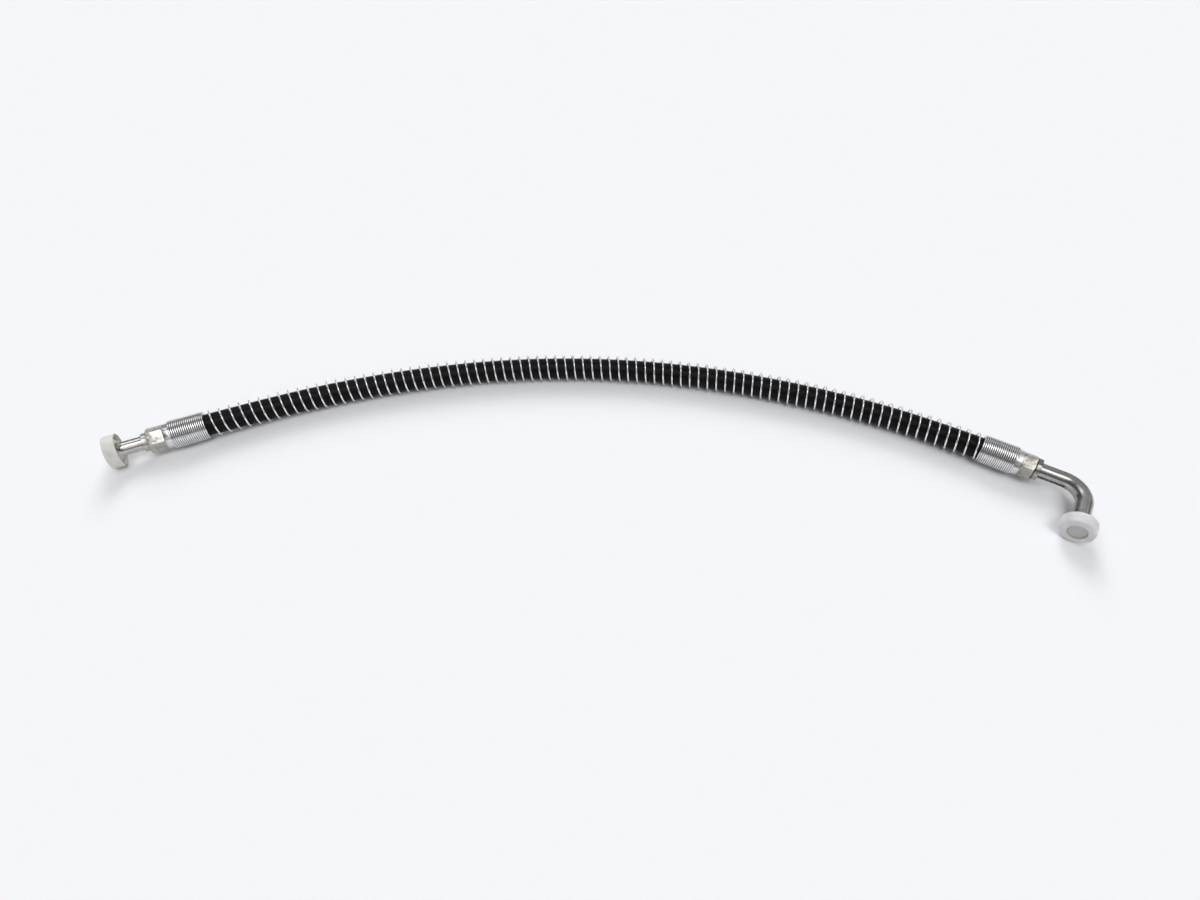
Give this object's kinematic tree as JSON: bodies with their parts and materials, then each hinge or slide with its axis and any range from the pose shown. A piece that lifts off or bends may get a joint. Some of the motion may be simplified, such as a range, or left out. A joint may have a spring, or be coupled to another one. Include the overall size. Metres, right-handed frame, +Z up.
{
  "type": "hydraulic hose assembly",
  "caption": "Rubber hydraulic hose in a loose steel spring guard, with a crimped straight flange fitting, a crimped right-angle flange elbow and push-on shipping caps.",
  "frame": {"origin": "on the floor under the middle of the bounding box of the hose assembly as it lies", "axes": "+X along the length of the assembly towards the elbow, +Y across the arc's hollow side towards its crown, +Z up from the floor"},
  "size_m": [1.2909, 0.3084, 0.0452],
  "materials": {
    "hose_rubber": "satin black",
    "spring_steel": "bright drawn wire",
    "ferrule_steel": "bright zinc plating",
    "fitting_steel": "satin zinc plating",
    "flange_steel": "satin zinc plating",
    "tube_steel": "satin zinc plating with brown heat stains by the joint",
    "seal_rubber": "matt black",
    "cap_plastic": "milky translucent"
  },
  "bodies": {
    "root": {"hose": "hose_rubber", "spring_guard": "spring_steel", "left_ferrule": "ferrule_steel", "left_insert": "fitting_steel", "left_flange_stub": "flange_steel", "left_o_ring": "seal_rubber", "left_cap": "cap_plastic", "right_ferrule": "ferrule_steel", "right_insert": "fitting_steel", "right_elbow_tube": "tube_steel", "right_flange_head": "flange_steel", "right_o_ring": "seal_rubber", "right_cap": "cap_plastic"}
  },
  "joints": []
}
